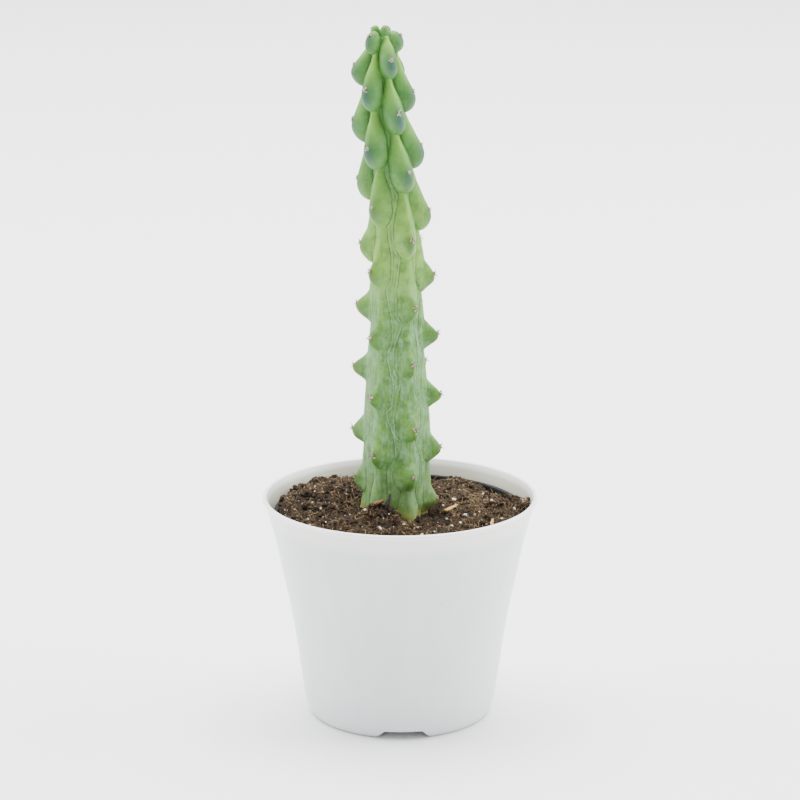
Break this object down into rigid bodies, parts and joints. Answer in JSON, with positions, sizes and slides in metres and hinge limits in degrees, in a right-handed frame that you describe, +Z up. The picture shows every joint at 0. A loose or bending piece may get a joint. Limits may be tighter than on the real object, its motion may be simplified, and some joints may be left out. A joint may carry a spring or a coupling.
{
  "type": "potted myrtillocactus",
  "caption": "Tall ribbed cactus with rounded hanging tubercles, standing in potting soil in a black nursery pot inside a tapered white plastic pot.",
  "frame": {"origin": "on the ground, at the middle of the pots' base", "axes": "+Z up along the pots' axis and the stem, -Y towards the front, +X to the right"},
  "size_m": [0.1092, 0.1092, 0.2777],
  "materials": {
    "white_plastic": "satin",
    "black_plastic": "satin",
    "potting_soil": "matte",
    "cactus_skin": "satin",
    "dark_bark": "matte",
    "orange_bark": "matte",
    "yellow_wood": "matte",
    "pale_wood": "matte"
  },
  "bodies": {
    "root": {"outer_pot": "white_plastic", "inner_pot": "black_plastic", "soil": "potting_soil", "cactus": "cactus_skin", "bark_shard": "dark_bark", "bark_chip": "orange_bark", "wood_sliver": "yellow_wood", "pale_stick": "pale_wood"}
  },
  "joints": []
}
